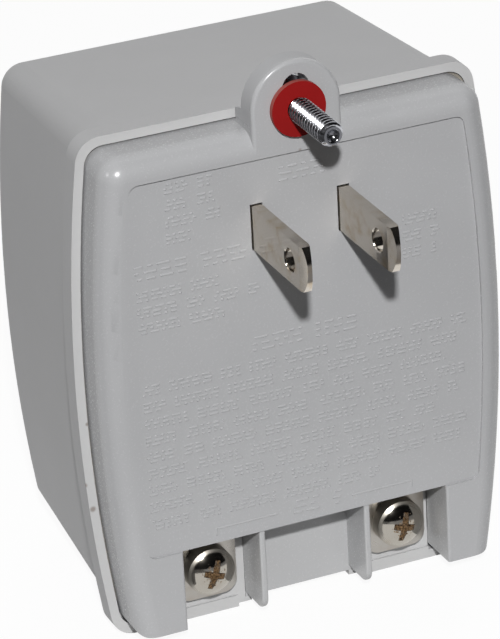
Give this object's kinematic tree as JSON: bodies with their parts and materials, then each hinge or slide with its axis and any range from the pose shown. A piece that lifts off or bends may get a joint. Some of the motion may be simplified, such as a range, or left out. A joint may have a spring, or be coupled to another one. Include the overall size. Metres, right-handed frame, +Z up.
{
  "type": "plug-in transformer",
  "caption": "Plug-in wall transformer: grey moulded case with bowed sides, flat blades, a slotted tab with retaining screw, and screw terminals in a bay.",
  "frame": {"origin": "midway between the two line blades, on the plane of the cover that meets the wall plate", "axes": "-Y the way the blades point, into the wall; +Z up, towards the tab; +X to the right as seen from the blade side"},
  "size_m": [0.0628, 0.0591, 0.0822],
  "materials": {
    "case_plastic": "fine matte moulded texture, light grey",
    "cover_plastic": "fine matte moulded texture, light grey",
    "blade_nickel": "nickel plate, fine rolling marks",
    "screw_zinc": "bright zinc plate",
    "washer_fibre": "dull red fibre",
    "clamp_nickel": "nickel plate",
    "terminal_screw_nickel": "nickel plate, slightly tarnished",
    "strip_brass": "bare brass",
    "core_steel": "varnished silicon steel sheets",
    "bobbin_nylon": "natural nylon",
    "winding_copper": "enamelled copper wire",
    "tape_film": "polyester film tape",
    "fuse_can": "lacquered can",
    "primary_lead_pvc": "black insulation",
    "secondary_lead_pvc": "yellow insulation"
  },
  "bodies": {
    "unit": {"front_case": "case_plastic", "back_cover": "cover_plastic", "line_blade_left": "blade_nickel", "line_blade_right": "blade_nickel", "terminal_strip_left": "strip_brass", "terminal_strip_right": "strip_brass", "core_e_laminations": "core_steel", "core_i_laminations": "core_steel", "bobbin": "bobbin_nylon", "primary_winding": "winding_copper", "secondary_winding": "winding_copper", "primary_tape": "tape_film", "secondary_tape": "tape_film", "thermal_fuse": "fuse_can", "primary_lead_left": "primary_lead_pvc", "primary_lead_right": "primary_lead_pvc", "secondary_lead_left": "secondary_lead_pvc", "secondary_lead_right": "secondary_lead_pvc"},
    "retaining_washer": {"retaining_washer": "washer_fibre"},
    "retaining_screw": {"retaining_screw": "screw_zinc"},
    "terminal_clamp_left": {"terminal_clamp_left": "clamp_nickel"},
    "terminal_screw_left": {"terminal_screw_left": "terminal_screw_nickel"},
    "terminal_clamp_right": {"terminal_clamp_right": "clamp_nickel"},
    "terminal_screw_right": {"terminal_screw_right": "terminal_screw_nickel"}
  },
  "joints": [
    {"name": "retaining_washer_slide", "type": "slide", "parent": "unit", "child": "retaining_washer", "axis": [0, 0, 1], "range_m": [0, 0.0032]},
    {"name": "retaining_screw_turn", "type": "hinge", "parent": "retaining_washer", "child": "retaining_screw", "pos_m": [0, -0.0005, 0.01595], "axis": [0, -1, 0], "continuous": true},
    {"name": "terminal_clamp_left_slide", "type": "slide", "parent": "unit", "child": "terminal_clamp_left", "axis": [0, -1, 0], "range_m": [0, 0.00238]},
    {"name": "terminal_screw_left_turn", "type": "hinge", "parent": "terminal_clamp_left", "child": "terminal_screw_left", "pos_m": [-0.0145, 0.00585, -0.05168], "axis": [0, -1, 0], "range_deg": [0, 1080]},
    {"name": "terminal_clamp_right_slide", "type": "slide", "parent": "unit", "child": "terminal_clamp_right", "axis": [0, -1, 0], "range_m": [0, 0.00238]},
    {"name": "terminal_screw_right_turn", "type": "hinge", "parent": "terminal_clamp_right", "child": "terminal_screw_right", "pos_m": [0.0145, 0.00585, -0.05168], "axis": [0, -1, 0], "range_deg": [0, 1080]}
  ],
  "couplings": [
    {"joint": "terminal_screw_left_turn", "follows": "terminal_clamp_left_slide", "rad_per_m": 7915.8},
    {"joint": "terminal_screw_right_turn", "follows": "terminal_clamp_right_slide", "rad_per_m": 7915.8}
  ]
}
